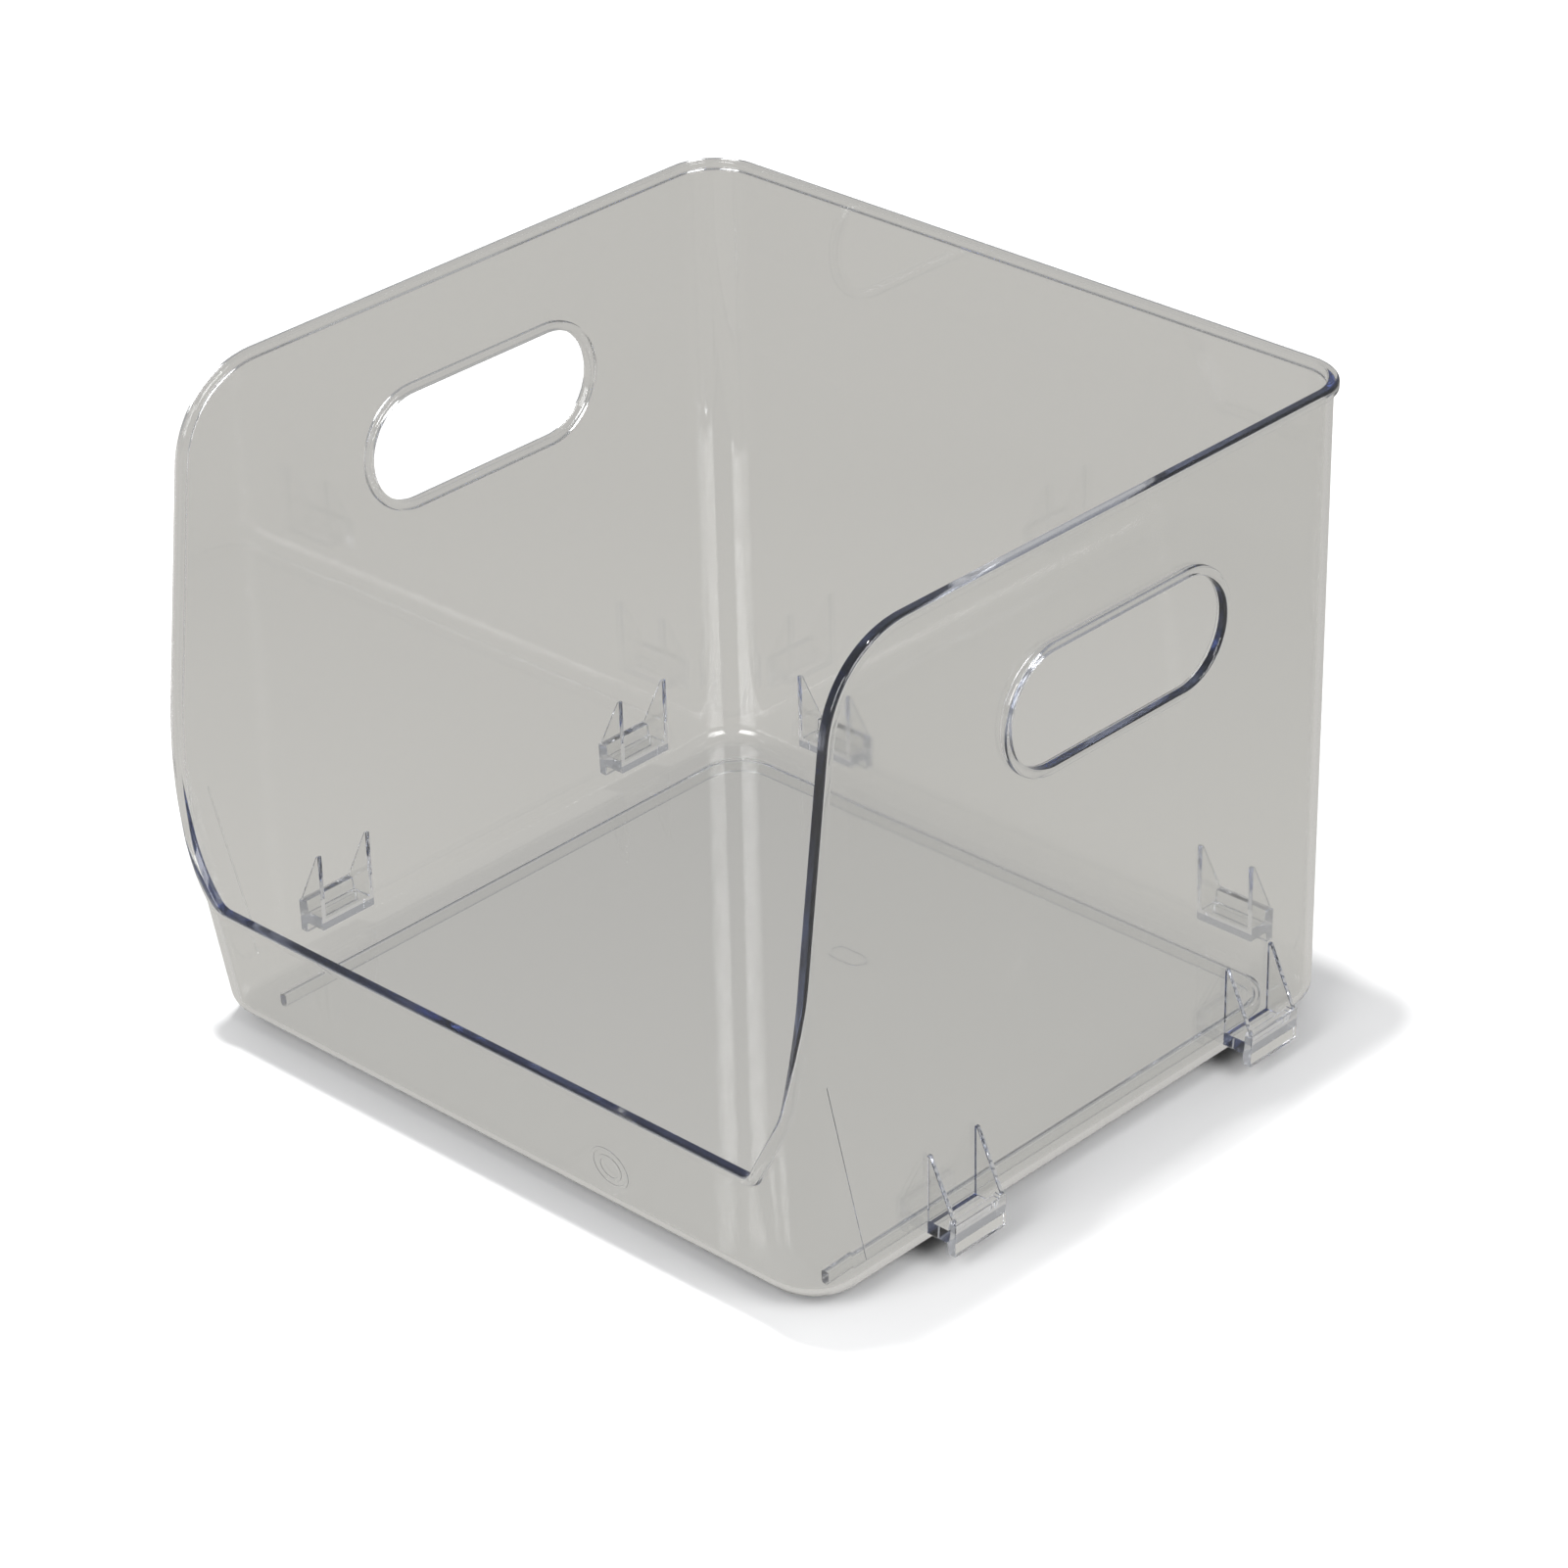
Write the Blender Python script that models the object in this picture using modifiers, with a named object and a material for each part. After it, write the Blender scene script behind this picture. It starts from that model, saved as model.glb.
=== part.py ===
"""Clear stacking bin for a fridge or pantry shelf, moulded in one piece.

An open-topped tub whose front wall is cut down to a low lip.  The tub stands on a
U-shaped foot rail, and six hooked brackets low on the back and sides drop over the
rim of the bin below.  Metres; +X right, -Y front (the lip), +Z up, table at z = 0.
The moulding is split into its named regions with a hair gap between neighbours.
"""

import math

import bmesh
import bpy
from mathutils import Vector

# Overall sizes
WIDTH_BOTTOM = 0.2475       # outside of the side walls at the floor
WIDTH_TOP = 0.2500          # outside of the side walls at the rim
FRONT_BOTTOM_Y = -0.1124    # outside of the front wall at the floor
FRONT_LEAN = 0.18           # how far the front wall leans out, per metre of height
BACK_BOTTOM_Y = 0.1123      # outside of the back wall at the floor
BACK_TOP_Y = 0.1128         # outside of the back wall at the rim
FLOOR_Z = 0.0042            # underside of the floor above the table
RIM_Z = 0.2065              # top of the rim
WALL = 0.0020
CORNER_RADIUS = 0.0160      # upright corners, outside
FLOOR_RADIUS = 0.0060       # where floor turns up into wall, outside
GAP = 0.0003                # hair gap between neighbouring regions

# Edge of the opening; distances run along the wall from where the front corner starts
LIP_Z = 0.0467              # top of the low front lip
LIP_END = -0.00125          # the lip stops here and the edge starts to rise
LIP_END_RADIUS = 0.0040
KNEE_ALONG = 0.01175        # bend in the corner between lip and side edge
KNEE_Z = 0.0704
KNEE_RADIUS = 0.0300
SHOULDER_ALONG = 0.05505    # side edge and level rim would meet here
SHOULDER_RADIUS = 0.0380

# Thickened edge round the opening
BEAD_OUT = 0.0015           # how far the bead stands out from the wall
BEAD_HEIGHT = 0.0034
BEAD_CHAMFER = 0.0006

# Hand holes in the side walls
GRIP_Y = BACK_BOTTOM_Y - 0.1024
GRIP_Z = RIM_Z - 0.0523
GRIP_HALF_STRAIGHT = 0.0276
GRIP_RADIUS = 0.0172
GRIP_BEAD_WIDTH = 0.0030

# Hooked stacking brackets
BRACKET_HALF_WIDTH = 0.0106
BRACKET_REACH = 0.0105      # hook outside face from the wall
HOOK_THICKNESS = 0.0034
HOOK_BOTTOM_Z = 0.0059
HOOK_TOP_Z = 0.0166
LEDGE_BOTTOM_Z = 0.0094
LEDGE_TOP_Z = 0.0130
FIN_THICKNESS = 0.0016
FIN_TOP_Z = 0.0352
FIN_TIP = 0.0008
SIDE_BRACKET_FRONT_Y = FRONT_BOTTOM_Y + 0.0546
SIDE_BRACKET_REAR_Y = BACK_BOTTOM_Y - 0.0410
BACK_BRACKET_X = WIDTH_BOTTOM / 2 - 0.04195

# U-shaped foot rail under the floor
FOOT_INSET = 0.0138         # middle of the rail from the outside of the side walls
FOOT_BACK_INSET = 0.0118    # and from the outside of the back wall
FOOT_THICKNESS = 0.0026
FOOT_RADIUS = 0.0130
FOOT_FRONT_Y = FRONT_BOTTOM_Y + 0.0170

ARC_STEPS = 8
PATH_STEP = 0.0020
FLAT_ENOUGH = 0.00006


def clear_scene():
    for obj in list(bpy.data.objects):
        bpy.data.objects.remove(obj, do_unlink=True)


def new_collection(name):
    collection = bpy.data.collections.new(name)
    bpy.context.scene.collection.children.link(collection)
    return collection


def clear_plastic(name):
    material = bpy.data.materials.new(name)
    material.use_nodes = True
    shader = material.node_tree.nodes["Principled BSDF"]
    shader.inputs["Base Color"].default_value = (0.80, 0.83, 0.86, 1.0)
    shader.inputs["Roughness"].default_value = 0.08
    shader.inputs["Metallic"].default_value = 0.0
    return material


def add_node(name, mesh, collection):
    obj = bpy.data.objects.new(name, mesh)
    obj.data.materials.append(clear_plastic(name + "_plastic"))
    collection.objects.link(obj)
    return obj


def share(start, end, z):
    """Value at height z of something that runs straight from floor to rim."""
    return start + (end - start) * (z - FLOOR_Z) / (RIM_Z - FLOOR_Z)


def wall_sizes(z):
    half = share(WIDTH_BOTTOM, WIDTH_TOP, z) / 2
    front = FRONT_BOTTOM_Y - FRONT_LEAN * (z - FLOOR_Z)
    back = share(BACK_BOTTOM_Y, BACK_TOP_Y, z)
    return half, front, back


def stretch_lengths(z, radius=CORNER_RADIUS):
    """Lengths of front half, front corner, side, back corner and back half."""
    half, front, back = wall_sizes(z)
    quarter = radius * math.pi / 2
    flat = half - radius
    return (flat, quarter, back - front - 2 * radius, quarter, flat)


def station(along, z):
    """Turns a distance along the wall into stretch number plus share of that stretch."""
    left = along
    for number, length in enumerate(stretch_lengths(z)):
        if left <= length or number == 4:
            return number + min(left / length, 1.0)
        left -= length


def outline(place, z, inset=0.0):
    """Point and outward direction on the right half of the outer wall, moved in by inset."""
    half, front, back = wall_sizes(z)
    radius = CORNER_RADIUS - inset
    inner = half - CORNER_RADIUS
    number = min(int(place), 4)
    part = place - number
    if number == 0:
        return Vector((inner * part, front + inset, z)), Vector((0.0, -1.0, 0.0))
    if number == 1:
        turn = part * math.pi / 2
        out = Vector((math.sin(turn), -math.cos(turn), 0.0))
        return Vector((inner, front + CORNER_RADIUS, z)) + out * radius, out
    if number == 2:
        y = front + CORNER_RADIUS + (back - front - 2 * CORNER_RADIUS) * part
        return Vector((half - inset, y, z)), Vector((1.0, 0.0, 0.0))
    if number == 3:
        turn = part * math.pi / 2
        out = Vector((math.cos(turn), math.sin(turn), 0.0))
        return Vector((inner, back - CORNER_RADIUS, z)) + out * radius, out
    return Vector((inner * (1.0 - part), back - inset, z)), Vector((0.0, 1.0, 0.0))


def rounded_path(points, radii, step):
    """Straight runs joined by arcs; points are (along, z), one radius per inner point."""
    path = [Vector(points[0])]
    for before, corner, after, radius in zip(points, points[1:], points[2:], radii):
        corner = Vector(corner)
        to_before = (Vector(before) - corner).normalized()
        to_after = (Vector(after) - corner).normalized()
        half_angle = to_before.angle(to_after) / 2
        centre = corner + (to_before + to_after).normalized() * radius / math.sin(half_angle)
        start = corner + to_before * radius / math.tan(half_angle)
        end = corner + to_after * radius / math.tan(half_angle)
        turn = math.pi - 2 * half_angle
        count = max(3, math.ceil(radius * turn / (2 * step)))
        for number in range(count + 1):
            part = number / count
            spoke = (start - centre) * math.sin((1 - part) * turn) + (end - centre) * math.sin(part * turn)
            path.append(centre + spoke / math.sin(turn))
    path.append(Vector(points[-1]))
    return path


def filled_in(path, step):
    """Adds points so that no two are further apart than step."""
    filled = [path[0]]
    for start, end in zip(path, path[1:]):
        count = max(1, math.ceil((end - start).length / step))
        filled += [start.lerp(end, (number + 1) / count) for number in range(count)]
    return filled


def opening_edge(below):
    """The edge of the opening as (along, z) points, moved into the wall by below."""
    whole = sum(stretch_lengths(RIM_Z))
    corner = WIDTH_BOTTOM / 2 - CORNER_RADIUS
    corners = [
        (0.0, LIP_Z), (corner + LIP_END, LIP_Z), (corner + KNEE_ALONG, KNEE_Z),
        (corner + SHOULDER_ALONG, RIM_Z), (whole, RIM_Z),
    ]
    radii = [LIP_END_RADIUS, KNEE_RADIUS, SHOULDER_RADIUS]
    path = filled_in(rounded_path(corners, radii, PATH_STEP), PATH_STEP)
    moved = []
    for number, point in enumerate(path):
        run = path[min(number + 1, len(path) - 1)] - path[max(number - 1, 0)]
        into = Vector((run.y, -run.x)).normalized()
        moved.append(point + into * below)
    return moved


def edge_stations(below):
    """Stations (place, z) along the opening edge, kept only where the wall or edge bends."""
    places = [(station(max(point.x, 0.0), point.y), point.y) for point in opening_edge(below)]
    places[0] = (0.0, places[0][1])
    places[-1] = (5.0, places[-1][1])
    spots = [outline(*place)[0] for place in places]
    kept = {0, len(places) - 1}
    spans = [(0, len(places) - 1)]
    while spans:
        low, high = spans.pop()
        chord = (spots[high] - spots[low]).normalized()
        off = [(spot - spots[low]).cross(chord).length for spot in spots[low:high + 1]]
        furthest = low + off.index(max(off))
        if off[furthest - low] > FLAT_ENOUGH:
            kept.add(furthest)
            spans += [(low, furthest), (furthest, high)]
    for corner in range(1, 5):
        kept.add(min(range(len(places)), key=lambda number: abs(places[number][0] - corner)))
    return [places[number] for number in sorted(kept)]


def mirror_across_middle(obj):
    mirror = obj.modifiers.new("left_half", "MIRROR")
    mirror.use_axis = (True, False, False)
    mirror.use_clip = True
    mirror.merge_threshold = 0.00005


def make_tub(collection, cutter):
    """Floor and walls: a ruled outer skin, thickened inwards, with the hand holes cut."""
    stations = edge_stations(BEAD_HEIGHT + GAP)
    mesh = bpy.data.meshes.new("bin_shell")
    bm = bmesh.new()
    turns = [number / 5 * math.pi / 2 for number in range(6)]
    rows = []
    for turn in turns:
        inset = FLOOR_RADIUS * (1 - math.sin(turn))
        z = FLOOR_Z + FLOOR_RADIUS * (1 - math.cos(turn))
        rows.append([bm.verts.new(outline(place, z, inset)[0]) for place, _ in stations])
    rows.append([bm.verts.new(outline(place, z)[0]) for place, z in stations])
    for lower, upper in zip(rows, rows[1:]):
        for column in range(len(stations) - 1):
            bm.faces.new((lower[column], lower[column + 1], upper[column + 1], upper[column]))
    bm.faces.new(list(reversed(rows[0])))
    bm.to_mesh(mesh)
    bm.free()
    tub = add_node("bin_shell", mesh, collection)
    mirror_across_middle(tub)
    thicken = tub.modifiers.new("wall_thickness", "SOLIDIFY")
    thicken.thickness = WALL
    thicken.offset = -1.0
    thicken.use_even_offset = True
    cut = tub.modifiers.new("hand_holes", "BOOLEAN")
    cut.operation = "DIFFERENCE"
    cut.solver = "EXACT"
    cut.object = cutter
    return tub


def bead_section():
    """Corners of the bead's section as (out, up) from the outer top edge of the wall."""
    left, right = -WALL, BEAD_OUT
    low, high = -BEAD_HEIGHT, 0.0
    cut = BEAD_CHAMFER
    return [
        (left + cut, low), (right - cut, low), (right, low + cut), (right, high - cut),
        (right - cut, high), (left + cut, high), (left, high - cut), (left, low + cut),
    ]


def make_rim_bead(collection):
    """The thickened edge: one endless bead along lip, side edges and level rim."""
    stations = edge_stations(0.0)
    spots = [outline(*place)[0] for place in stations]
    bm = bmesh.new()
    rings = []
    for number, place in enumerate(stations):
        out = outline(*place)[1]
        run = spots[min(number + 1, len(spots) - 1)] - spots[max(number - 1, 0)]
        if number in (0, len(spots) - 1):
            run = Vector((run.x, 0.0, 0.0))
        up = out.cross(run).normalized()
        ring = [bm.verts.new(spots[number] + out * a + up * b) for a, b in bead_section()]
        rings.append(ring)
    size = len(rings[0])
    for first, second in zip(rings, rings[1:]):
        for number in range(size):
            after = (number + 1) % size
            bm.faces.new((first[number], first[after], second[after], second[number]))
    bmesh.ops.recalc_face_normals(bm, faces=bm.faces)
    mesh = bpy.data.meshes.new("rim_bead")
    bm.to_mesh(mesh)
    bm.free()
    bead = add_node("rim_bead", mesh, collection)
    mirror_across_middle(bead)
    return bead


def stadium(half_straight, radius):
    """Outline of a slot with round ends, as (across, up) points."""
    points = []
    for side in (1, -1):
        for number in range(ARC_STEPS + 1):
            turn = math.pi * (number / ARC_STEPS - 0.5)
            points.append((side * (half_straight + radius * math.cos(turn)), side * radius * math.sin(turn)))
    return points


def flat_plate(name, outlines, thickness, bevel=0.0):
    """A plate cut to closed outlines, its thickness centred on its own flat plane."""
    curve = bpy.data.curves.new(name, "CURVE")
    curve.dimensions = "2D"
    curve.fill_mode = "BOTH"
    curve.extrude = thickness / 2 - bevel
    curve.bevel_depth = bevel
    curve.bevel_resolution = 0
    curve.offset = -bevel
    for points in outlines:
        spline = curve.splines.new("POLY")
        spline.points.add(len(points) - 1)
        for point, (across, up) in zip(spline.points, points):
            point.co = (across, up, 0.0, 1.0)
        spline.use_cyclic_u = True
    holder = bpy.data.objects.new(name, curve)
    bpy.context.scene.collection.objects.link(holder)
    bpy.context.view_layer.update()
    graph = bpy.context.evaluated_depsgraph_get()
    mesh = bpy.data.meshes.new_from_object(holder.evaluated_get(graph))
    bpy.data.objects.remove(holder, do_unlink=True)
    bm = bmesh.new()
    bm.from_mesh(mesh)
    bmesh.ops.remove_doubles(bm, verts=bm.verts, dist=0.00001)
    bmesh.ops.recalc_face_normals(bm, faces=bm.faces)
    bm.to_mesh(mesh)
    bm.free()
    mesh.materials.clear()
    return mesh


def side_wall_tilt():
    return math.atan2((WIDTH_TOP - WIDTH_BOTTOM) / 2, RIM_Z - FLOOR_Z)


def make_grip_cutter(cutters):
    """A slot-shaped bar through both side walls, as wide as the hand hole and its bead."""
    radius = GRIP_RADIUS + GRIP_BEAD_WIDTH + GAP
    mesh = flat_plate("grip_cutter", [stadium(GRIP_HALF_STRAIGHT, radius)], WIDTH_TOP * 1.2)
    bar = bpy.data.objects.new("grip_cutter", mesh)
    bar.location = (0.0, GRIP_Y, GRIP_Z)
    bar.rotation_euler = (math.pi / 2, 0.0, math.pi / 2)
    cutters.objects.link(bar)
    bar.hide_render = True
    bar.display_type = "WIRE"
    return bar


def make_grip_beads(collection):
    """A raised ring round each hand hole, flush inside and proud outside."""
    slots = [
        stadium(GRIP_HALF_STRAIGHT, GRIP_RADIUS + GRIP_BEAD_WIDTH),
        stadium(GRIP_HALF_STRAIGHT, GRIP_RADIUS),
    ]
    mesh = flat_plate("grip_bead", slots, WALL + BEAD_OUT, BEAD_CHAMFER)
    middle = wall_sizes(GRIP_Z)[0] + (BEAD_OUT - WALL) / 2
    for side, name in ((1, "grip_bead_right"), (-1, "grip_bead_left")):
        ring = add_node(name, mesh.copy(), collection)
        ring.location = (side * middle, GRIP_Y, GRIP_Z)
        ring.rotation_euler = (math.pi / 2 + side * side_wall_tilt(), 0.0, math.pi / 2)


def wall_face_points(low, high):
    """The outside of the wall from low to high, seen end on, a hair gap away."""
    points = []
    for number in range(5):
        z = low + (FLOOR_Z + FLOOR_RADIUS - low) * number / 4
        drop = FLOOR_RADIUS - (z - FLOOR_Z)
        points.append((math.sqrt(FLOOR_RADIUS ** 2 - drop ** 2) - FLOOR_RADIUS + GAP, z))
    tilt = math.tan(side_wall_tilt())
    points.append((tilt * (high - FLOOR_Z) + GAP, high))
    return points


def hook_profile():
    """Ledge and hook seen end on, as (out, up) points."""
    inner = BRACKET_REACH - HOOK_THICKNESS
    wall = [(out, z) for out, z in wall_face_points(LEDGE_BOTTOM_Z, LEDGE_TOP_Z + 0.001)]
    wall = [(out, z) for out, z in wall if z < LEDGE_TOP_Z]
    return wall + [
        (wall[-1][0] + 0.0002, LEDGE_TOP_Z),
        (inner, LEDGE_TOP_Z),
        (inner + 0.0006, HOOK_TOP_Z),
        (BRACKET_REACH, HOOK_TOP_Z),
        (BRACKET_REACH - 0.0003, HOOK_BOTTOM_Z),
        (inner + 0.0003, HOOK_BOTTOM_Z),
        (inner, LEDGE_BOTTOM_Z),
    ]


def fin_profile():
    """Triangular fin seen end on: upright against the wall, sloping down to the hook."""
    sink = 0.0005
    wall = wall_face_points(LEDGE_BOTTOM_Z + sink, FIN_TOP_Z)
    return wall + [
        (wall[-1][0] + FIN_TIP, FIN_TOP_Z),
        (BRACKET_REACH - sink, HOOK_TOP_Z - sink),
        (BRACKET_REACH - sink, LEDGE_BOTTOM_Z + sink),
    ]


def bracket_mesh(cutters):
    """Ledge, hook and two fins joined into one solid; x points out from the wall."""
    width = 2 * BRACKET_HALF_WIDTH
    mesh = flat_plate("bracket", [hook_profile()], width)
    bracket = bpy.data.objects.new("bracket_pattern", mesh)
    bracket.rotation_euler = (math.pi / 2, 0.0, 0.0)
    cutters.objects.link(bracket)
    bracket.hide_render = True
    fin = flat_plate("fin", [fin_profile()], FIN_THICKNESS)
    inside = BRACKET_HALF_WIDTH - FIN_THICKNESS / 2 - 0.0001
    for side, name in ((1, "fin_pattern_one"), (-1, "fin_pattern_two")):
        plate = bpy.data.objects.new(name, fin)
        plate.location = (0.0, side * inside, 0.0)
        plate.rotation_euler = (math.pi / 2, 0.0, 0.0)
        plate.hide_render = True
        plate.display_type = "WIRE"
        cutters.objects.link(plate)
        join = bracket.modifiers.new("add_" + name, "BOOLEAN")
        join.operation = "UNION"
        join.solver = "EXACT"
        join.object = plate
    bpy.context.view_layer.update()
    graph = bpy.context.evaluated_depsgraph_get()
    joined = bpy.data.meshes.new_from_object(bracket.evaluated_get(graph))
    joined.transform(bracket.matrix_world)
    bpy.data.objects.remove(bracket, do_unlink=True)
    return joined


def make_brackets(collection, cutters):
    mesh = bracket_mesh(cutters)
    side = WIDTH_BOTTOM / 2
    spots = (
        ("bracket_right_front", (side, SIDE_BRACKET_FRONT_Y), 0.0),
        ("bracket_right_rear", (side, SIDE_BRACKET_REAR_Y), 0.0),
        ("bracket_left_front", (-side, SIDE_BRACKET_FRONT_Y), math.pi),
        ("bracket_left_rear", (-side, SIDE_BRACKET_REAR_Y), math.pi),
        ("bracket_back_right", (BACK_BRACKET_X, BACK_BOTTOM_Y), math.pi / 2),
        ("bracket_back_left", (-BACK_BRACKET_X, BACK_BOTTOM_Y), math.pi / 2),
    )
    for name, (x, y), turn in spots:
        bracket = add_node(name, mesh.copy(), collection)
        bracket.location = (x, y, 0.0)
        bracket.rotation_euler = (0.0, 0.0, turn)


def make_foot_rail(collection):
    """An upright strip bent into a U, open at the front, that the bin stands on."""
    half = WIDTH_BOTTOM / 2 - FOOT_INSET
    back = BACK_BOTTOM_Y - FOOT_BACK_INSET
    corners = [(0.0, back), (half, back), (half, FOOT_FRONT_Y)]
    path = rounded_path(corners, [FOOT_RADIUS], PATH_STEP)
    bm = bmesh.new()
    lower = [bm.verts.new((x, y, 0.0)) for x, y in path]
    upper = [bm.verts.new((x, y, FLOOR_Z - GAP)) for x, y in path]
    for number in range(len(path) - 1):
        bm.faces.new((lower[number], lower[number + 1], upper[number + 1], upper[number]))
    mesh = bpy.data.meshes.new("foot_rail")
    bm.to_mesh(mesh)
    bm.free()
    rail = add_node("foot_rail", mesh, collection)
    mirror_across_middle(rail)
    thicken = rail.modifiers.new("rail_thickness", "SOLIDIFY")
    thicken.thickness = FOOT_THICKNESS
    thicken.offset = 0.0
    thicken.use_even_offset = True


def main():
    clear_scene()
    collection = new_collection("stacking_fridge_bin")
    cutters = new_collection("cutters")
    cutters.hide_render = True
    grip_cutter = make_grip_cutter(cutters)
    make_tub(collection, grip_cutter)
    make_rim_bead(collection)
    make_grip_beads(collection)
    make_brackets(collection, cutters)
    make_foot_rail(collection)


main()
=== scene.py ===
"""Looks of a clear stacking fridge bin: one glass-clear moulding on a pale floor.

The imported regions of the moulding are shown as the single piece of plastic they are:
a tub with a low lip, a bead round the opening, two hand holes, six hooked brackets,
a foot rail, and the faint marks that the mould leaves.  Metres, +Z up, table at z = 0.
"""

import math

import bmesh
import bpy
from mathutils import Matrix, Vector


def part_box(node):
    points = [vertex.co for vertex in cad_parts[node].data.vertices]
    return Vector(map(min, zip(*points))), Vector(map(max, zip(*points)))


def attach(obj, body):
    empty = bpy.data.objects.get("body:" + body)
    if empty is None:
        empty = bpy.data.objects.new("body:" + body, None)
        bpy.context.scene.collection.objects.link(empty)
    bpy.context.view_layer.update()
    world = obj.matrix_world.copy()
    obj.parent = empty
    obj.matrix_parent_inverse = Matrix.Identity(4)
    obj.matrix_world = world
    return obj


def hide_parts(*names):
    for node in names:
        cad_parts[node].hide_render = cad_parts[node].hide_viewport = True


MM = 0.001
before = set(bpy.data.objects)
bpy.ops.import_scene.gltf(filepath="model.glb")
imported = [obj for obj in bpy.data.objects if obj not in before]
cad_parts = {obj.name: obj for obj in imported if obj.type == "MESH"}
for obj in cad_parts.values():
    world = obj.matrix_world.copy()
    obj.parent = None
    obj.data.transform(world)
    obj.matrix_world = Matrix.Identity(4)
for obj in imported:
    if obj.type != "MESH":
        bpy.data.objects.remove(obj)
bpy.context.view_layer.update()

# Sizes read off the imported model
SHELL_LOW = Vector(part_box("bin_shell")[0])
BEAD_HIGH = Vector(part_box("rim_bead")[1])
GRIP_LOW, GRIP_HIGH = (Vector(corner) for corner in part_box("grip_bead_right"))
FOOT_LOW, FOOT_HIGH = (Vector(corner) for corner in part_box("foot_rail"))
HOOK_LOW, HOOK_HIGH = (Vector(corner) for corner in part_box("bracket_right_front"))
REAR_LOW, REAR_HIGH = (Vector(corner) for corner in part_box("bracket_right_rear"))
BACK_LOW, BACK_HIGH = (Vector(corner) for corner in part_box("bracket_back_right"))

# Walls
WALL = 2.0 * MM
BEAD_OUT = 1.5 * MM           # how far the bead stands out from the wall
BEAD_HEIGHT = 3.4 * MM
BRACKET_REACH = 10.5 * MM     # hook outside face from the wall
FLOOR_Z = SHELL_LOW.z
RIM_Z = BEAD_HIGH.z
HALF_TOP = BEAD_HIGH.x - BEAD_OUT
HALF_BOTTOM = HOOK_HIGH.x - BRACKET_REACH
BACK_TOP = BEAD_HIGH.y - BEAD_OUT
BACK_BOTTOM = BACK_HIGH.y - BRACKET_REACH
FRONT_BOTTOM = -112.4 * MM
FRONT_LEAN = 0.18             # how far the front leans out, per metre of height
CORNER_RADIUS = 16.0 * MM
FLOOR_RADIUS = 6.0 * MM

# Edge of the opening; distances run along the wall from where the front corner starts
LIP_Z = 46.7 * MM
LIP_END = -1.25 * MM
LIP_END_RADIUS = 4.0 * MM
KNEE_ALONG = 11.75 * MM
KNEE_Z = 70.4 * MM
KNEE_RADIUS = 30.0 * MM
SHOULDER_ALONG = 55.05 * MM
SHOULDER_RADIUS = 38.0 * MM
PATH_STEP = 1.5 * MM

# Points closer than this are one point
SAME_POINT = 0.002 * MM

# Rounding of the moulded edges
BEAD_ROOT = 0.4 * MM
BEAD_UNDER = 0.8 * MM
BEAD_TOP = 1.1 * MM
BEAD_INSIDE = 0.8 * MM
SMALL_ROUND = 0.35 * MM
ARC_STEPS = 4
FILLET_STEPS = 8
SHARPEST_SMOOTH = 38          # degrees; sharper edges stay crisp in the shading

# Hand holes
GRIP_RADIUS = 17.2 * MM
GRIP_BEAD = 3.0 * MM
GRIP_STEPS = 40               # sides to each half-round end
GRIP_PROUD_INSIDE = 0.3 * MM
GRIP_SECTION_ROUND = 0.9 * MM
BAR_REACH = 0.2               # half length of the bar that cuts both hand holes

# Brackets, measured out from the wall
HOOK_THICKNESS = 3.4 * MM
HOOK_TOP = HOOK_LOW.z + 10.7 * MM
LEDGE_BOTTOM = HOOK_LOW.z + 3.5 * MM
LEDGE_TOP = HOOK_LOW.z + 7.1 * MM
FIN_THICKNESS = 1.6 * MM
FIN_TIP = 0.8 * MM
FIN_INSET = 0.5 * MM          # how far the fin stays inside the outline of the hook
HOOK_LEAN = 0.6 * MM          # draft of the hook, so that it leaves the mould
SINK = 0.6 * MM               # how far added pieces reach into the wall they grow from

# Marks of the mould
WITNESS_LOW = (-93.3 * MM, 13.9 * MM)      # y and z on the side walls
WITNESS_HIGH = (-107.8 * MM, 76.3 * MM)
GATE_PLACE = (47.6 * MM, 21.4 * MM)        # x and z on the front wall
GATE_RADIUS = 6.6 * MM
EJECTOR_PLACE = (2.6 * MM, 29.7 * MM)      # x and y on the floor
EJECTOR_SIZE = (13.0 * MM, 6.5 * MM)
MARK_DEPTH = 0.5 * MM
WITNESS_PROUD = 0.18 * MM
GATE_PROUD = 0.08 * MM
EJECTOR_PROUD = 0.12 * MM
WITNESS_WIDTH = 0.5 * MM
GATE_WIDTH = 1.2 * MM
INNER_GATE = 0.6              # inner gate ring as a share of the outer one
GATE_STEPS = 24
EJECTOR_WIDTH = 0.9 * MM
EJECTOR_STEPS = 16
MARK_ROUND = 0.15 * MM

# Foot rail
FOOT_THICKNESS = 2.6 * MM
FOOT_RADIUS = 13.0 * MM
FOOT_ROUND = 1.1 * MM

# Camera
CAMERA_PLACE = Vector((0.92842, -0.95659, 0.82784))
CAMERA_AZIMUTH = math.radians(43.913)
CAMERA_ELEVATION = math.radians(29.399)
CAMERA_ROLL = math.radians(-1.483)
CAMERA_LENS = 120.38          # mm
CAMERA_SENSOR = 36.0          # mm wide

# Painted glow of the paper seen through the plastic, made dimmer towards the back as painted shade, and
# how far from the middle each value is reached
PAINTED_GLOW_FRONT = 0.62
PAINTED_GLOW_BACK = 0.46
PAINTED_GLOW_FRONT_Y = -0.30
PAINTED_GLOW_BACK_Y = 0.35
FLOOR_SIZE = 12.0

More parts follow.
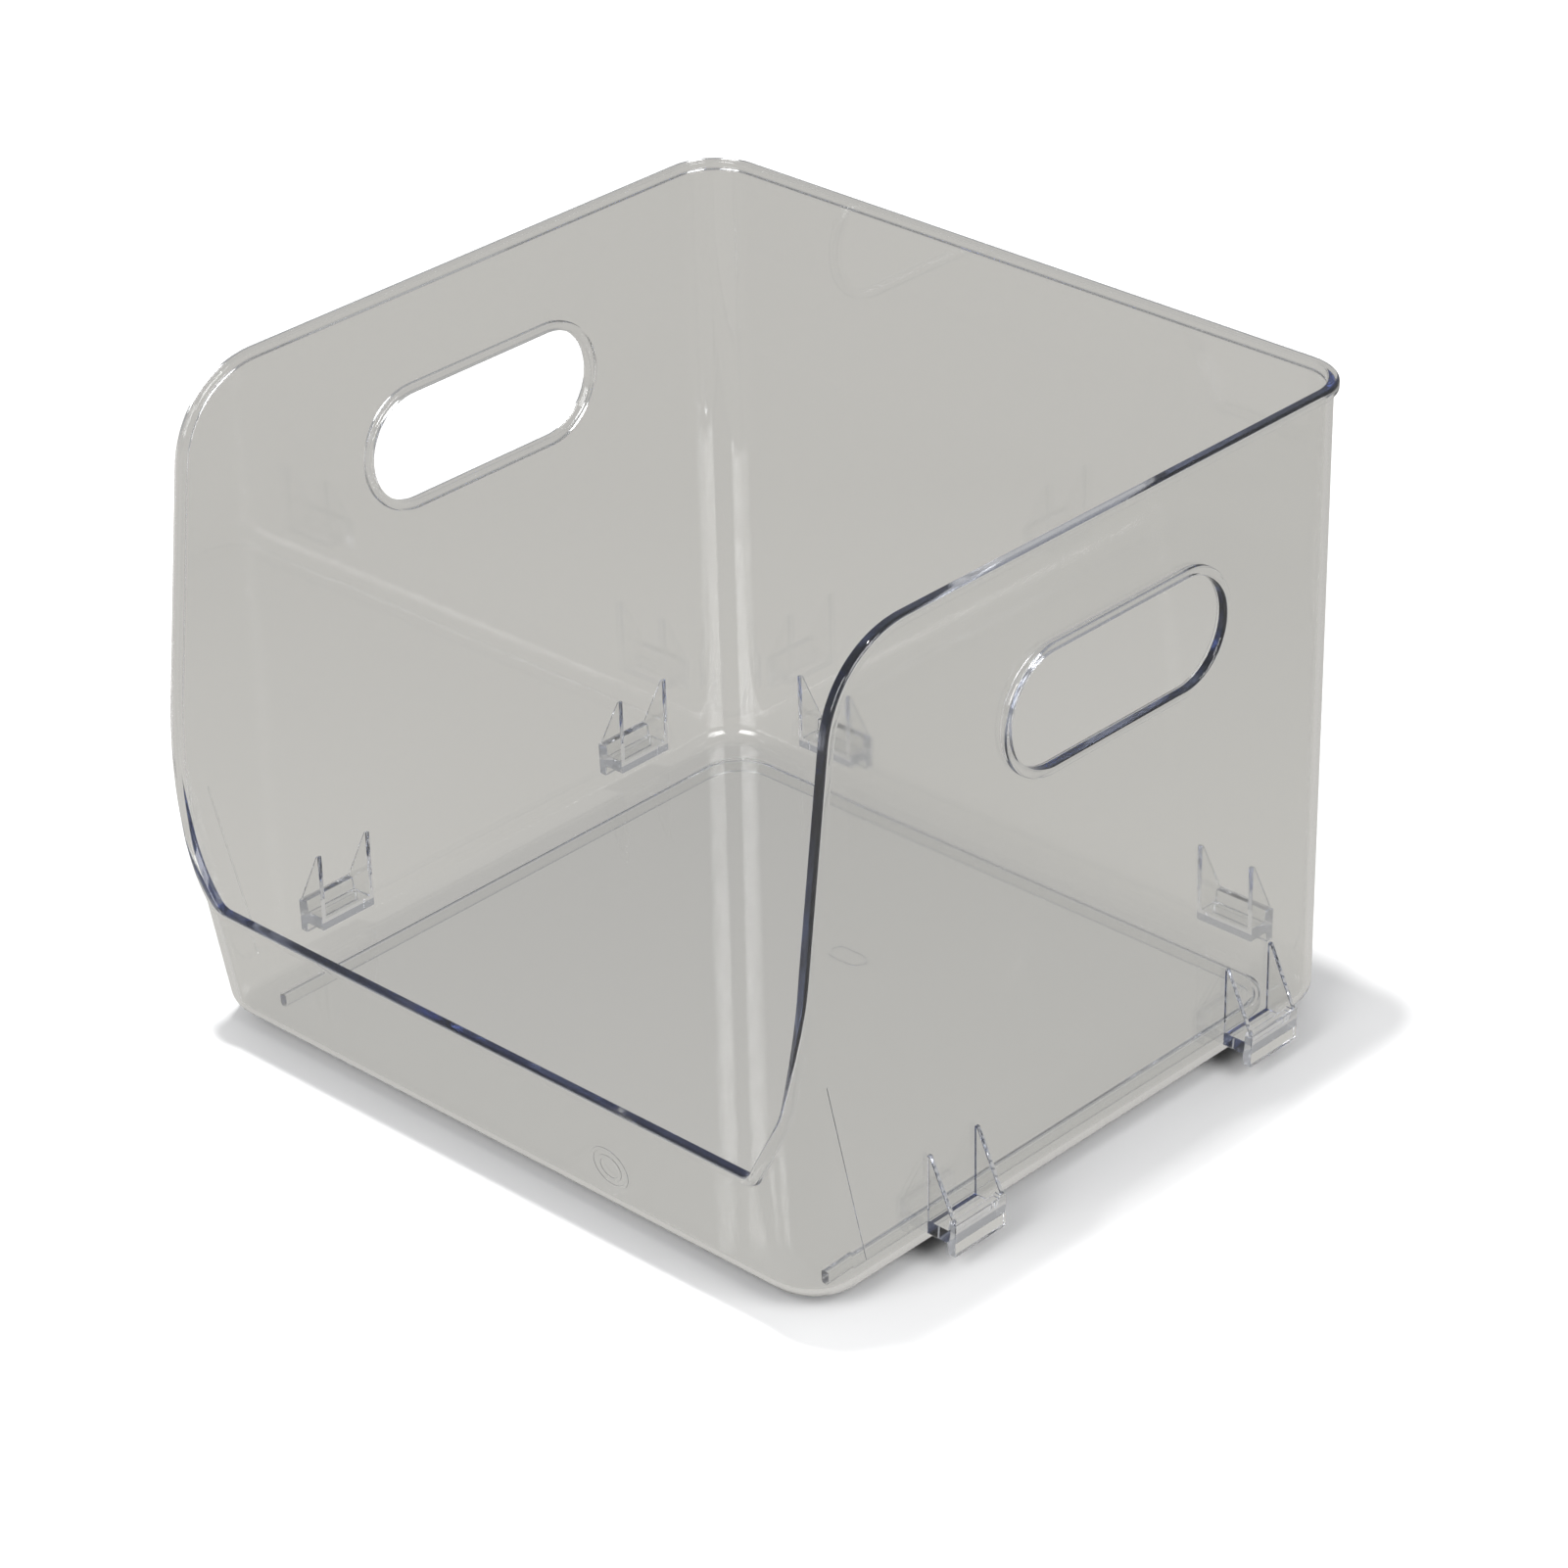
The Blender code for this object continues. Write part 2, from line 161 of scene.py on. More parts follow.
# Soft boxes: name, place, side in metres and power in watts, all aimed at the bin
LIGHT_TARGET = Vector((0.0, 0.0, 0.1))
SOFT_BOXES = (
    ("front_soft_box", Vector((0.1, -2.0, 1.4)), 1.4, 36.0),
    ("side_soft_box", Vector((2.0, -0.1, 1.4)), 1.4, 36.0),
    ("overhead_soft_box", Vector((-0.36, -0.18, 4.0)), 0.25, 104.0),
)


# ---------------------------------------------------------------- small helpers

def linear(hex_colour):
    """sRGB hex such as 'A0B1C2' to a linear RGBA colour."""
    channels = [int(hex_colour[place:place + 2], 16) / 255 for place in (0, 2, 4)]
    straight = [
        value / 12.92 if value <= 0.04045 else ((value + 0.055) / 1.055) ** 2.4
        for value in channels
    ]
    return (*straight, 1.0)


def add(tree, kind, settings=None, **links):
    """Adds a node; settings are its properties or input values, links feed its inputs."""
    node = tree.nodes.new(kind)
    for name, value in (settings or {}).items():
        if isinstance(name, str) and hasattr(node, name):
            setattr(node, name, value)
        else:
            node.inputs[name].default_value = value
    for name, source in links.items():
        by_number = name[0] == "i" and name[1:].isdigit()
        tree.links.new(source, node.inputs[int(name[1:]) if by_number else name])
    return node


def smoothed(obj, sharpest):
    """Shades smooth except over edges sharper than that many degrees, flats kept flat."""
    bm = bmesh.new()
    bm.from_mesh(obj.data)
    limit = math.radians(sharpest)
    for face in bm.faces:
        face.smooth = True
    for edge in bm.edges:
        edge.smooth = len(edge.link_faces) == 2 and edge.calc_face_angle(0.0) < limit
    bm.to_mesh(obj.data)
    bm.free()
    weighted = obj.modifiers.new("flats_stay_flat", "WEIGHTED_NORMAL")
    weighted.keep_sharp = True
    weighted.weight = 100
    settle(obj)


def as_mesh(obj):
    """A plain mesh of an object as its modifiers leave it."""
    bpy.context.view_layer.update()
    graph = bpy.context.evaluated_depsgraph_get()
    return bpy.data.meshes.new_from_object(obj.evaluated_get(graph))


def settle(obj):
    """Turns an object and its modifiers into a plain mesh."""
    mesh = as_mesh(obj)
    mesh.name = obj.name
    obj.modifiers.clear()
    obj.data = mesh


def linked(name, data):
    obj = bpy.data.objects.new(name, data)
    bpy.context.scene.collection.objects.link(obj)
    return obj


# ---------------------------------------------------------------- shape of the wall

def share(start, end, z):
    """Value at height z of something that runs straight from floor to rim."""
    return start + (end - start) * (z - FLOOR_Z) / (RIM_Z - FLOOR_Z)


def wall_sizes(z):
    """Half width, front and back of the outside of the wall at height z."""
    front = FRONT_BOTTOM - FRONT_LEAN * (z - FLOOR_Z)
    return share(HALF_BOTTOM, HALF_TOP, z), front, share(BACK_BOTTOM, BACK_TOP, z)


def stretch_lengths(z):
    """Lengths of front half, front corner, side, back corner and back half."""
    half, front, back = wall_sizes(z)
    quarter = CORNER_RADIUS * math.pi / 2
    flat = half - CORNER_RADIUS
    return (flat, quarter, back - front - 2 * CORNER_RADIUS, quarter, flat)


def station(along, z):
    """Turns a distance along the wall into stretch number plus share of that stretch."""
    left = along
    for number, length in enumerate(stretch_lengths(z)):
        if left <= length or number == 4:
            return number + max(0.0, min(left / length, 1.0))
        left -= length


def outline(place, z, inset=0.0):
    """Point on the right half of the wall, moved in by inset from the outside face."""
    half, front, back = wall_sizes(z)
    radius = CORNER_RADIUS - inset
    inner = half - CORNER_RADIUS
    number = min(int(place), 4)
    part = place - number
    turn = part * math.pi / 2
    if number == 0:
        return Vector((inner * part, front + inset, z))
    if number == 1:
        out = Vector((math.sin(turn), -math.cos(turn), 0.0))
        return Vector((inner, front + CORNER_RADIUS, z)) + out * radius
    if number == 2:
        y = front + CORNER_RADIUS + (back - front - 2 * CORNER_RADIUS) * part
        return Vector((half - inset, y, z))
    if number == 3:
        out = Vector((math.cos(turn), math.sin(turn), 0.0))
        return Vector((inner, back - CORNER_RADIUS, z)) + out * radius
    return Vector((inner * (1.0 - part), back - inset, z))


def arc(centre, radius, start, end, steps):
    """Points on an arc in degrees; returns (a, b) pairs."""
    turns = [math.radians(start + (end - start) * number / steps) for number in range(steps + 1)]
    return [(centre[0] + radius * math.cos(turn), centre[1] + radius * math.sin(turn)) for turn in turns]


def rounded_path(points, radii, step):
    """Straight runs joined by arcs, one radius for each inner point."""
    path = [Vector(points[0])]
    for before, corner, after, radius in zip(points, points[1:], points[2:], radii):
        corner = Vector(corner)
        to_before = (Vector(before) - corner).normalized()
        to_after = (Vector(after) - corner).normalized()
        half_angle = to_before.angle(to_after) / 2
        centre = corner + (to_before + to_after).normalized() * radius / math.sin(half_angle)
        start = corner + to_before * radius / math.tan(half_angle)
        end = corner + to_after * radius / math.tan(half_angle)
        turn = math.pi - 2 * half_angle
        count = max(8, math.ceil(radius * turn / step))
        for number in range(count + 1):
            part = number / count
            spoke = (start - centre) * math.sin((1 - part) * turn)
            spoke += (end - centre) * math.sin(part * turn)
            path.append(centre + spoke / math.sin(turn))
    path.append(Vector(points[-1]))
    return path


def filled_in(path, step):
    """Adds points so that no two are further apart than step."""
    filled = [path[0]]
    for start, end in zip(path, path[1:]):
        count = max(1, math.ceil((end - start).length / step))
        filled += [start.lerp(end, (number + 1) / count) for number in range(count)]
    return filled


def opening_edge():
    """The edge of the opening as (point, direction into the wall), in (along, z)."""
    corner = HALF_BOTTOM - CORNER_RADIUS
    corners = [
        (0.0, LIP_Z), (corner + LIP_END, LIP_Z), (corner + KNEE_ALONG, KNEE_Z),
        (corner + SHOULDER_ALONG, RIM_Z), (sum(stretch_lengths(RIM_Z)), RIM_Z),
    ]
    path = rounded_path(corners, [LIP_END_RADIUS, KNEE_RADIUS, SHOULDER_RADIUS], PATH_STEP)
    path = filled_in(path, PATH_STEP)
    edge = []
    for number, point in enumerate(path):
        run = path[min(number + 1, len(path) - 1)] - path[max(number - 1, 0)]
        edge.append((point, Vector((run.y, -run.x)).normalized()))
    return edge


def bead_section():
    """Outline of the bead as (below the edge, out from the wall), outside to inside."""
    section = arc((BEAD_HEIGHT + BEAD_ROOT, BEAD_ROOT), BEAD_ROOT, 270, 180, ARC_STEPS)
    section += arc((BEAD_HEIGHT - BEAD_UNDER, BEAD_OUT - BEAD_UNDER), BEAD_UNDER, 0, 90, ARC_STEPS)
    section += arc((BEAD_TOP, BEAD_OUT - BEAD_TOP), BEAD_TOP, 90, 180, ARC_STEPS)
    section += arc((BEAD_INSIDE, BEAD_INSIDE - WALL), BEAD_INSIDE, 180, 270, ARC_STEPS)
    section.append((BEAD_HEIGHT + BEAD_ROOT, -WALL))
    return section


def skin_column(point, into, place=None):
    """One strip of the skin: under the floor, up the outside, over the bead, down inside."""
    def spot(below, out):
        moved = point + into * below
        return outline(station(moved.x, moved.y) if place is None else place, moved.y, -out)

    foot = point + into * (BEAD_HEIGHT + BEAD_ROOT)
    foot_place = station(foot.x, foot.y) if place is None else place
    inside_radius = FLOOR_RADIUS - WALL
    column = []
    for inset, z in arc((FLOOR_RADIUS, FLOOR_Z + FLOOR_RADIUS), FLOOR_RADIUS, 270, 180, FILLET_STEPS):
        column.append(outline(foot_place, z, inset))
    column += [spot(below, out) for below, out in bead_section()]
    for inset, z in arc((FLOOR_RADIUS, FLOOR_Z + FLOOR_RADIUS), inside_radius, 180, 270, FILLET_STEPS):
        column.append(outline(foot_place, z, inset))
    return column


def make_tub():
    """The tub as one closed skin: strips side by side, mirrored, floor filled in."""
    edge = opening_edge()
    ends = {0: 0.0, len(edge) - 1: 5.0}
    bm = bmesh.new()
    columns = []
    for number, (point, into) in enumerate(edge):
        spots = skin_column(point, into, ends.get(number))
        columns.append([bm.verts.new(spot) for spot in spots])
    for first, second in zip(columns, columns[1:]):
        for row in range(len(first) - 1):
            bm.faces.new((first[row], second[row], second[row + 1], first[row + 1]))
    bm.faces.new([column[0] for column in reversed(columns)])
    bm.faces.new([column[-1] for column in columns])
    half = bm.verts[:] + bm.edges[:] + bm.faces[:]
    copy = bmesh.ops.duplicate(bm, geom=half)["geom"]
    other = [part for part in copy if isinstance(part, bmesh.types.BMVert)]
    bmesh.ops.scale(bm, vec=(-1.0, 1.0, 1.0), verts=other)
    bmesh.ops.reverse_faces(bm, faces=[part for part in copy if isinstance(part, bmesh.types.BMFace)])
    bmesh.ops.remove_doubles(bm, verts=bm.verts, dist=SAME_POINT)
    bmesh.ops.recalc_face_normals(bm, faces=bm.faces)
    mesh = bpy.data.meshes.new("clear_bin")
    bm.to_mesh(mesh)
    bm.free()
    return linked("clear_bin", mesh)


# ---------------------------------------------------------------- Geometry Nodes

def new_tree(name, inputs):
    """A Geometry Nodes tree with named inputs; returns it with its input node."""
    tree = bpy.data.node_groups.new(name, "GeometryNodeTree")
    tree.interface.new_socket("Geometry", in_out="INPUT", socket_type="NodeSocketGeometry")
    for label, kind in inputs:
        tree.interface.new_socket(label, in_out="INPUT", socket_type="NodeSocket" + kind)
    tree.interface.new_socket("Geometry", in_out="OUTPUT", socket_type="NodeSocketGeometry")
    return tree, tree.nodes.new("NodeGroupInput")


def close_tree(tree, given, geometry):
    """Ends a tree in Realize Instances and Set Material."""
    real = add(tree, "GeometryNodeRealizeInstances", Geometry=geometry)
    painted = add(
        tree, "GeometryNodeSetMaterial",
        Geometry=real.outputs[0], Material=given.outputs["Material"],
    )
    add(tree, "NodeGroupOutput", i0=painted.outputs[0])


def use_tree(obj, tree, values):
    """Puts a tree on an object and fills in its inputs by the sockets' identifiers."""
    modifier = obj.modifiers.new(tree.name, "NODES")
    modifier.node_group = tree
    for item in tree.interface.items_tree:
        if item.in_out == "INPUT" and item.name in values:
            modifier[item.identifier] = values[item.name]


def bead_tree():
    """A bead of rounded section swept along a flat path."""
    tree, given = new_tree("bead_along_path", (
        ("Width", "Float"), ("Depth", "Float"), ("Rounding", "Float"), ("Material", "Material"),
    ))
    value = given.outputs
    upright = add(tree, "GeometryNodeSetCurveNormal", {"mode": "Z_UP"}, Curve=value["Geometry"])
    section = add(
        tree, "GeometryNodeCurvePrimitiveQuadrilateral", {"mode": "RECTANGLE"},
        Width=value["Width"], Height=value["Depth"],
    )
    rounded = add(
        tree, "GeometryNodeFilletCurve", {"mode": "POLY", "Count": 3, "Limit Radius": True},
        Curve=section.outputs[0], Radius=value["Rounding"],
    )
    swept = add(
        tree, "GeometryNodeCurveToMesh", {"Fill Caps": True},
        **{"Curve": upright.outputs[0], "Profile Curve": rounded.outputs[0]},
    )
    close_tree(tree, given, swept.outputs[0])
    return tree


def times(tree, source, factor):
    return add(tree, "ShaderNodeMath", {"operation": "MULTIPLY", 1: factor}, i0=source).outputs[0]


def at(tree, **axes):
    return add(tree, "ShaderNodeCombineXYZ", **axes).outputs[0]


def prism(tree, outline_curve, thickness):
    """Sweeps a closed outline sideways, half to each side."""
    half = times(tree, thickness, 0.5)
    line = add(
        tree, "GeometryNodeCurvePrimitiveLine",
        Start=at(tree, Y=half), End=at(tree, Y=times(tree, half, -1.0)),
    )
    upright = add(tree, "GeometryNodeSetCurveNormal", {"mode": "Z_UP"}, Curve=line.outputs[0])
    solid = add(
        tree, "GeometryNodeCurveToMesh", {"Fill Caps": True},
        **{"Curve": upright.outputs[0], "Profile Curve": outline_curve},
    )
    return solid.outputs[0]


def pair(tree, first, second, turn, pattern):
    """Two copies of a pattern at two places, turned to face outwards."""
    line = add(
        tree, "GeometryNodeMeshLine", {"mode": "END_POINTS", "Count": 2},
        **{"Start Location": first, "Offset": second},
    )
    copies = add(
        tree, "GeometryNodeInstanceOnPoints", {"Rotation": (0.0, 0.0, math.radians(turn))},
        Points=line.outputs[0], Instance=pattern,
    )
    return copies.outputs[0]


def one_bracket(tree, value):
    """Hook and ledge with a fin flush with each end, as one solid."""
    hook = prism(tree, value["Geometry"], value["Bracket width"])
    fin_source = add(tree, "GeometryNodeObjectInfo", Object=value["Fin outline"])
    fin = prism(tree, fin_source.outputs["Geometry"], value["Fin thickness"])
    spread = add(
        tree, "ShaderNodeMath", {"operation": "SUBTRACT"},
        i0=value["Bracket width"], i1=value["Fin thickness"],
    )
    inside = times(tree, spread.outputs[0], 0.5)
    fins = pair(tree, at(tree, Y=inside), at(tree, Y=times(tree, inside, -1.0)), 0, fin)
    fins = add(tree, "GeometryNodeRealizeInstances", Geometry=fins).outputs[0]
    joined = add(tree, "GeometryNodeMeshBoolean", {"operation": "UNION", "solver": "EXACT"})
    tree.links.new(hook, joined.inputs["Mesh 2"])
    tree.links.new(fins, joined.inputs["Mesh 2"])
    return joined.outputs["Mesh"]


def bracket_tree():
    """One bracket repeated twice on each side wall and on the back."""
    tree, given = new_tree("six_brackets", (
        ("Fin outline", "Object"), ("Bracket width", "Float"), ("Fin thickness", "Float"),
        ("Side wall", "Float"), ("Front pair", "Float"), ("Rear pair", "Float"),
        ("Back wall", "Float"), ("Back spread", "Float"), ("Material", "Material"),
    ))
    value = given.outputs
    bracket = one_bracket(tree, value)
    everything = add(tree, "GeometryNodeJoinGeometry")
    sides = []
    for side, turn in ((value["Side wall"], 0), (times(tree, value["Side wall"], -1.0), 180)):
        front = at(tree, X=side, Y=value["Front pair"])
        rear = at(tree, X=side, Y=value["Rear pair"])
        sides.append(pair(tree, front, rear, turn, bracket))
    back_right = at(tree, X=value["Back spread"], Y=value["Back wall"])
    back_left = at(tree, X=times(tree, value["Back spread"], -1.0), Y=value["Back wall"])
    for part in (*sides, pair(tree, back_right, back_left, 90, bracket)):
        tree.links.new(part, everything.inputs[0])
    close_tree(tree, given, everything.outputs[0])
    return tree


def poly_curve(name, points, closed):
    """A curve object through points given as (x, y, z)."""
    curve = bpy.data.curves.new(name, "CURVE")
    curve.dimensions = "3D"
    spline = curve.splines.new("POLY")
    spline.points.add(len(points) - 1)
    for point, place in zip(spline.points, points):
        point.co = (*place, 1.0)
    spline.use_cyclic_u = closed
    return linked(name, curve)


def swept_bead(name, tree, points, closed, place, **sizes):
    """A bead along a path drawn flat in XY, then moved to its place."""
    curve = poly_curve(name, points, closed)
    use_tree(curve, tree, sizes)
    mesh = as_mesh(curve)
    bpy.data.objects.remove(curve, do_unlink=True)
    mesh.transform(place)
    bm = bmesh.new()
    bm.from_mesh(mesh)
    bmesh.ops.remove_doubles(bm, verts=bm.verts, dist=SAME_POINT)
    bmesh.ops.recalc_face_normals(bm, faces=bm.faces)
    bm.to_mesh(mesh)
    bm.free()
    return linked(name, mesh)


# ---------------------------------------------------------------- added pieces

def side_tilt():
    return math.atan2(HALF_TOP - HALF_BOTTOM, RIM_Z - FLOOR_Z)


def laid_flat(across, up, place):
    """Matrix that lays a flat XY drawing on a face: x along across, y along up."""
    matrix = Matrix((across, up, across.cross(up))).transposed().to_4x4()
    matrix.translation = place
    return matrix


def on_side_wall(side, y, z, out):
    """Lays a drawing on a side wall, out from its outside face."""
    tilt = side * side_tilt()
    up = Vector((math.sin(tilt), 0.0, math.cos(tilt)))
    return laid_flat(Vector((0.0, 1.0, 0.0)), up, (side * (wall_sizes(z)[0] + out), y, z))


def on_front_wall(x, z, out):
    """Lays a drawing on the front wall, out from its outside face."""
    up = Vector((0.0, -FRONT_LEAN, 1.0)).normalized()
    return laid_flat(Vector((1.0, 0.0, 0.0)), up, (x, wall_sizes(z)[1] - out, z))


def long_hole(length, height, steps):
    """Closed outline with two straight sides and half-round ends; a circle where they are equal."""
    radius = height / 2
    straight = max(0.0, length / 2 - radius)
    count = steps if straight > 0.0 else steps - 1
    outline_points = []
    for side in (1, -1):
        for x, y in arc((straight, 0.0), radius, -90, -90 + 180 * count / steps, count):
            outline_points.append((side * x, side * y, 0.0))
    return outline_points


def hand_hole():
    """Middle of a hand hole and the path down the middle of its bead."""
    length = GRIP_HIGH.y - GRIP_LOW.y - GRIP_BEAD
    height = 2 * GRIP_RADIUS + GRIP_BEAD
    return (GRIP_LOW + GRIP_HIGH) / 2, long_hole(length, height, GRIP_STEPS)


def cut_hand_holes(tub):
    """Cuts both hand holes a little wider than they end up; the beads close the edge."""
    middle, path = hand_hole()
    bm = bmesh.new()
    ring = [bm.verts.new((-BAR_REACH, middle.y + y, middle.z + z)) for y, z, _ in path]
    face = bm.faces.new(ring)
    moved = bmesh.ops.extrude_face_region(bm, geom=[face])["geom"]
    far_end = [part for part in moved if isinstance(part, bmesh.types.BMVert)]
    bmesh.ops.translate(bm, vec=(2 * BAR_REACH, 0.0, 0.0), verts=far_end)
    bmesh.ops.recalc_face_normals(bm, faces=bm.faces)
    mesh = bpy.data.meshes.new("hand_hole_bar")
    bm.to_mesh(mesh)
    bm.free()
    bar = linked("hand_hole_bar", mesh)
    combine(tub, bar, "DIFFERENCE")


def combine(body, tool, operation):
    """Exact union or difference; the tool is used up."""
    step = body.modifiers.new(tool.name, "BOOLEAN")
    step.operation = operation
    step.solver = "EXACT"
    step.object = tool
    settle(body)
    bpy.data.objects.remove(tool, do_unlink=True)


def grip_beads(tree, plastic):
    """A rounded bead round each hand hole, proud of both faces of the wall."""
    middle, path = hand_hole()
    depth = WALL + BEAD_OUT + GRIP_PROUD_INSIDE
    out = (BEAD_OUT - WALL - GRIP_PROUD_INSIDE) / 2
    beads = []
    for side in (1, -1):
        beads.append(swept_bead(
            "grip_bead", tree, path, True,
            on_side_wall(side, middle.y, middle.z, out),
            Width=GRIP_BEAD, Depth=depth, Rounding=GRIP_SECTION_ROUND, Material=plastic,
        ))
    return beads


def foot_rail(tree, plastic):
    """The upright strip bent into a U that the bin stands on, open at the front."""
    half = FOOT_HIGH.x - FOOT_THICKNESS / 2
    back = FOOT_HIGH.y - FOOT_THICKNESS / 2
    front = FOOT_LOW.y
    corners = [(half, front, 0.0), (half, back, 0.0), (-half, back, 0.0), (-half, front, 0.0)]
    path = rounded_path(corners, [FOOT_RADIUS, FOOT_RADIUS], PATH_STEP)
    height = FLOOR_Z + SINK
    return swept_bead(
        "foot_rail_strip", tree, path, False, Matrix.Translation((0.0, 0.0, height / 2)),
        Width=FOOT_THICKNESS, Depth=height, Rounding=FOOT_ROUND, Material=plastic,
    )


def wall_face_points(low, high):
    """The wall seen end on at two heights, a little inside its outside face."""
    return [(math.tan(side_tilt()) * (z - FLOOR_Z) - SINK, z) for z in (low, high)]


def as_drawn(profile):
    """Turns (out, up) points half round, as a sweep along Y lays its outline down."""
    return [(-out, -up, 0.0) for out, up in profile]


def hook_outline():
    """Ledge and hook seen end on."""
    inner = BRACKET_REACH - HOOK_THICKNESS
    profile = wall_face_points(LEDGE_BOTTOM, LEDGE_TOP) + [
        (inner, LEDGE_TOP), (inner + HOOK_LEAN, HOOK_TOP),
        (BRACKET_REACH, HOOK_TOP), (BRACKET_REACH - HOOK_LEAN / 2, HOOK_LOW.z),
        (inner + HOOK_LEAN / 2, HOOK_LOW.z), (inner, LEDGE_BOTTOM),
    ]
    return as_drawn(profile)


def fin_outline():
    """Fin seen end on: upright against the wall, sloping down to the hook."""
    wall = wall_face_points(LEDGE_BOTTOM + FIN_INSET, HOOK_HIGH.z)
    profile = wall + [
        (wall[-1][0] + SINK + FIN_TIP, HOOK_HIGH.z),
        (BRACKET_REACH - FIN_INSET, HOOK_TOP - FIN_INSET),
        (BRACKET_REACH - FIN_INSET, LEDGE_BOTTOM + FIN_INSET),
    ]
    return as_drawn(profile)


def six_brackets(plastic):
    """All six brackets with softly rounded edges, as one mesh."""
    fin = poly_curve("fin_outline", fin_outline(), True)
    bracket = poly_curve("brackets", hook_outline(), True)
    use_tree(bracket, bracket_tree(), {
        "Fin outline": fin,
        "Bracket width": HOOK_HIGH.y - HOOK_LOW.y,
        "Fin thickness": FIN_THICKNESS,
        "Side wall": HALF_BOTTOM,
        "Front pair": (HOOK_LOW.y + HOOK_HIGH.y) / 2,
        "Rear pair": (REAR_LOW.y + REAR_HIGH.y) / 2,
        "Back wall": BACK_BOTTOM,
        "Back spread": (BACK_LOW.x + BACK_HIGH.x) / 2,
        "Material": plastic,
    })
    mesh = as_mesh(bracket)
    for tool in (fin, bracket):
        bpy.data.objects.remove(tool, do_unlink=True)
    bm = bmesh.new()
    bm.from_mesh(mesh)
    bmesh.ops.remove_doubles(bm, verts=bm.verts, dist=0.005 * MM)
    bmesh.ops.dissolve_limit(bm, angle_limit=math.radians(2), verts=bm.verts, edges=bm.edges)
    bmesh.ops.recalc_face_normals(bm, faces=bm.faces)
    bm.to_mesh(mesh)
    bm.free()
    brackets = linked("bracket_set", mesh)
    soften = brackets.modifiers.new("soft_edges", "BEVEL")
    soften.width = SMALL_ROUND
    soften.segments = 2
    soften.limit_method = "ANGLE"
    soften.angle_limit = math.radians(40)
    settle(brackets)
    return brackets


def mould_marks(tree, plastic):
    """Faint ridges that the mould leaves: witness lines, gate ring and ejector mark."""
    ridge = {"Depth": MARK_DEPTH, "Rounding": MARK_ROUND, "Material": plastic}
    low, high = Vector(WITNESS_LOW), Vector(WITNESS_HIGH)
    middle = (low + high) / 2
    ends = [(*(low - middle), 0.0), (*(high - middle), 0.0)]
    marks = []
    for side in (1, -1):
        place = on_side_wall(side, middle.x, middle.y, WITNESS_PROUD - MARK_DEPTH / 2)
        marks.append(swept_bead(
            "witness_line", tree, ends, False, place, Width=WITNESS_WIDTH, **ridge,
        ))
    for radius in (GATE_RADIUS, GATE_RADIUS * INNER_GATE):
        marks.append(swept_bead(
            "gate_ring", tree, long_hole(2 * radius, 2 * radius, GATE_STEPS), True,
            on_front_wall(GATE_PLACE[0], GATE_PLACE[1], GATE_PROUD - MARK_DEPTH / 2),
            Width=GATE_WIDTH, **ridge,
        ))
    lift = FLOOR_Z + WALL + EJECTOR_PROUD - MARK_DEPTH / 2
    marks.append(swept_bead(
        "ejector_mark", tree, long_hole(*EJECTOR_SIZE, EJECTOR_STEPS), True,
        Matrix.Translation((*EJECTOR_PLACE, lift)), Width=EJECTOR_WIDTH, **ridge,
    ))
    return marks


def join_objects(name, objects):
    """Several meshes as one object of separate islands."""
    bm = bmesh.new()
    for obj in objects:
        bm.from_mesh(obj.data)
    mesh = bpy.data.meshes.new(name)
    bm.to_mesh(mesh)
    bm.free()
    for obj in objects:
        bpy.data.objects.remove(obj, do_unlink=True)
    return linked(name, mesh)


def make_bin(plastic):
    """The whole moulding as one closed body of plastic."""
    tub = make_tub()
    cut_hand_holes(tub)
    tree = bead_tree()
    parts = grip_beads(tree, plastic) + [foot_rail(tree, plastic), six_brackets(plastic)]
    parts += mould_marks(tree, plastic)
    combine(tub, join_objects("grown_on", parts), "UNION")
    bm = bmesh.new()
    bm.from_mesh(tub.data)
    bmesh.ops.remove_doubles(bm, verts=bm.verts, dist=SAME_POINT)
    bmesh.ops.dissolve_degenerate(bm, edges=bm.edges, dist=0.001 * MM)
    bm.to_mesh(tub.data)
    bm.free()
    tub.data.materials.clear()
    tub.data.materials.append(plastic)
    for face in tub.data.polygons:
        face.material_index = 0
    smoothed(tub, SHARPEST_SMOOTH)
    return tub


# ---------------------------------------------------------------- materials

